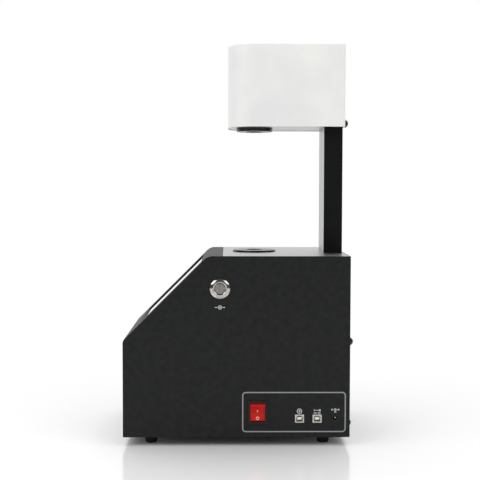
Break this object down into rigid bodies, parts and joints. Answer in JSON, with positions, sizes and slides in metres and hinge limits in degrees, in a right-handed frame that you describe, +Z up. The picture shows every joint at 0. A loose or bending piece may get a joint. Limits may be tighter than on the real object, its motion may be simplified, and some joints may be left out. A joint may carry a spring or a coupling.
{
  "type": "turbidity meter",
  "caption": "Benchtop turbidity meter: lamp head on a column over a sample port in a sloped steel base, with a push button, rocker switch and side sockets.",
  "frame": {"origin": "middle of the base's footprint, on the bench under the feet", "axes": "+X to the right seen from the front, towards the side with the sockets; +Y to the back; +Z up"},
  "size_m": [0.2204, 0.3066, 0.54],
  "materials": {
    "housing_coat": "fine textured black powder coat",
    "head_paint": "smooth white paint",
    "satin_plate": "satin anodised",
    "black_anodised": "black anodised",
    "zinc_steel": "zinc plated",
    "black_steel": "black oxide",
    "bezel_steel": "polished stainless",
    "cap_steel": "turned stainless",
    "spring_steel": "drawn wire",
    "rubber": "matt",
    "display_glass": "black printed cover glass",
    "foam": "closed cell foam",
    "lcd": "display module",
    "circuit_board": "green solder mask",
    "component_black": "moulded",
    "sphere_coat": "matt white lining and outside",
    "filter_glass": "coloured filter",
    "lens_glass": "coated lens",
    "tinned_shell": "tin plated",
    "tongue_white": "moulded white",
    "contact_brass": "plated contacts",
    "switch_black": "moulded black",
    "rocker_red": "moulded red",
    "lead_black": "sheath",
    "raw_aluminium": "extruded"
  },
  "bodies": {
    "base": {"main_housing": "housing_coat", "top_plate": "satin_plate", "top_plate_screws": "zinc_steel", "rear_panel": "housing_coat", "rear_screws": "black_steel", "rear_washers": "black_steel", "bottom_plate": "zinc_steel", "bottom_plate_screws": "zinc_steel", "rubber_feet": "rubber", "foot_screws": "zinc_steel", "foot_nuts": "zinc_steel", "display_glass": "display_glass", "display_gasket": "foam", "lcd_module": "lcd", "display_board": "circuit_board", "display_posts": "zinc_steel", "display_screws": "zinc_steel", "port_ring": "black_anodised", "sphere_upper_half": "sphere_coat", "sphere_lower_half": "sphere_coat", "sphere_screws": "zinc_steel", "sphere_pillars": "zinc_steel", "light_trap": "black_anodised", "detector_housing": "black_anodised", "detector_filter": "filter_glass", "detector_board": "circuit_board", "main_board": "circuit_board", "board_screws": "zinc_steel", "internal_leads": "lead_black", "board_components": "component_black", "board_posts": "zinc_steel", "connector_board": "circuit_board", "usb_shells": "tinned_shell", "usb_tongues": "tongue_white", "dc_inlet": "switch_black", "dc_pin": "contact_brass", "button_gasket": "rubber", "button_bezel": "bezel_steel", "button_spring": "spring_steel", "button_nut": "zinc_steel", "contact_block": "component_black", "rocker_frame": "switch_black", "rocker_terminals": "contact_brass", "column_channel": "black_anodised", "column_cover": "satin_plate", "base_bracket": "zinc_steel", "head_bracket": "zinc_steel", "bracket_screws": "zinc_steel", "column_screws": "zinc_steel", "lamp_lead": "lead_black", "head_shell": "head_paint", "head_bottom_plate": "satin_plate", "lens_ring": "black_anodised", "collimator_tube": "black_anodised", "collimator_lens": "lens_glass", "lens_retainer": "black_anodised", "led_board": "raw_aluminium", "heat_sink": "raw_aluminium"},
    "button": {"button_cap": "cap_steel"},
    "rocker": {"rocker": "rocker_red"}
  },
  "joints": [
    {"name": "button_press", "type": "slide", "parent": "base", "child": "button", "axis": [-1, 0, 0], "range_m": [0, 0.002], "stiffness_N_per_m": 1200, "springref_m": -0.001, "deforming": ["button_spring"]},
    {"name": "rocker_tilt", "type": "hinge", "parent": "base", "child": "rocker", "pos_m": [0.1041, 0.0281, 0.0455], "axis": [0, -1, 0], "range_deg": [0, 22]}
  ]
}
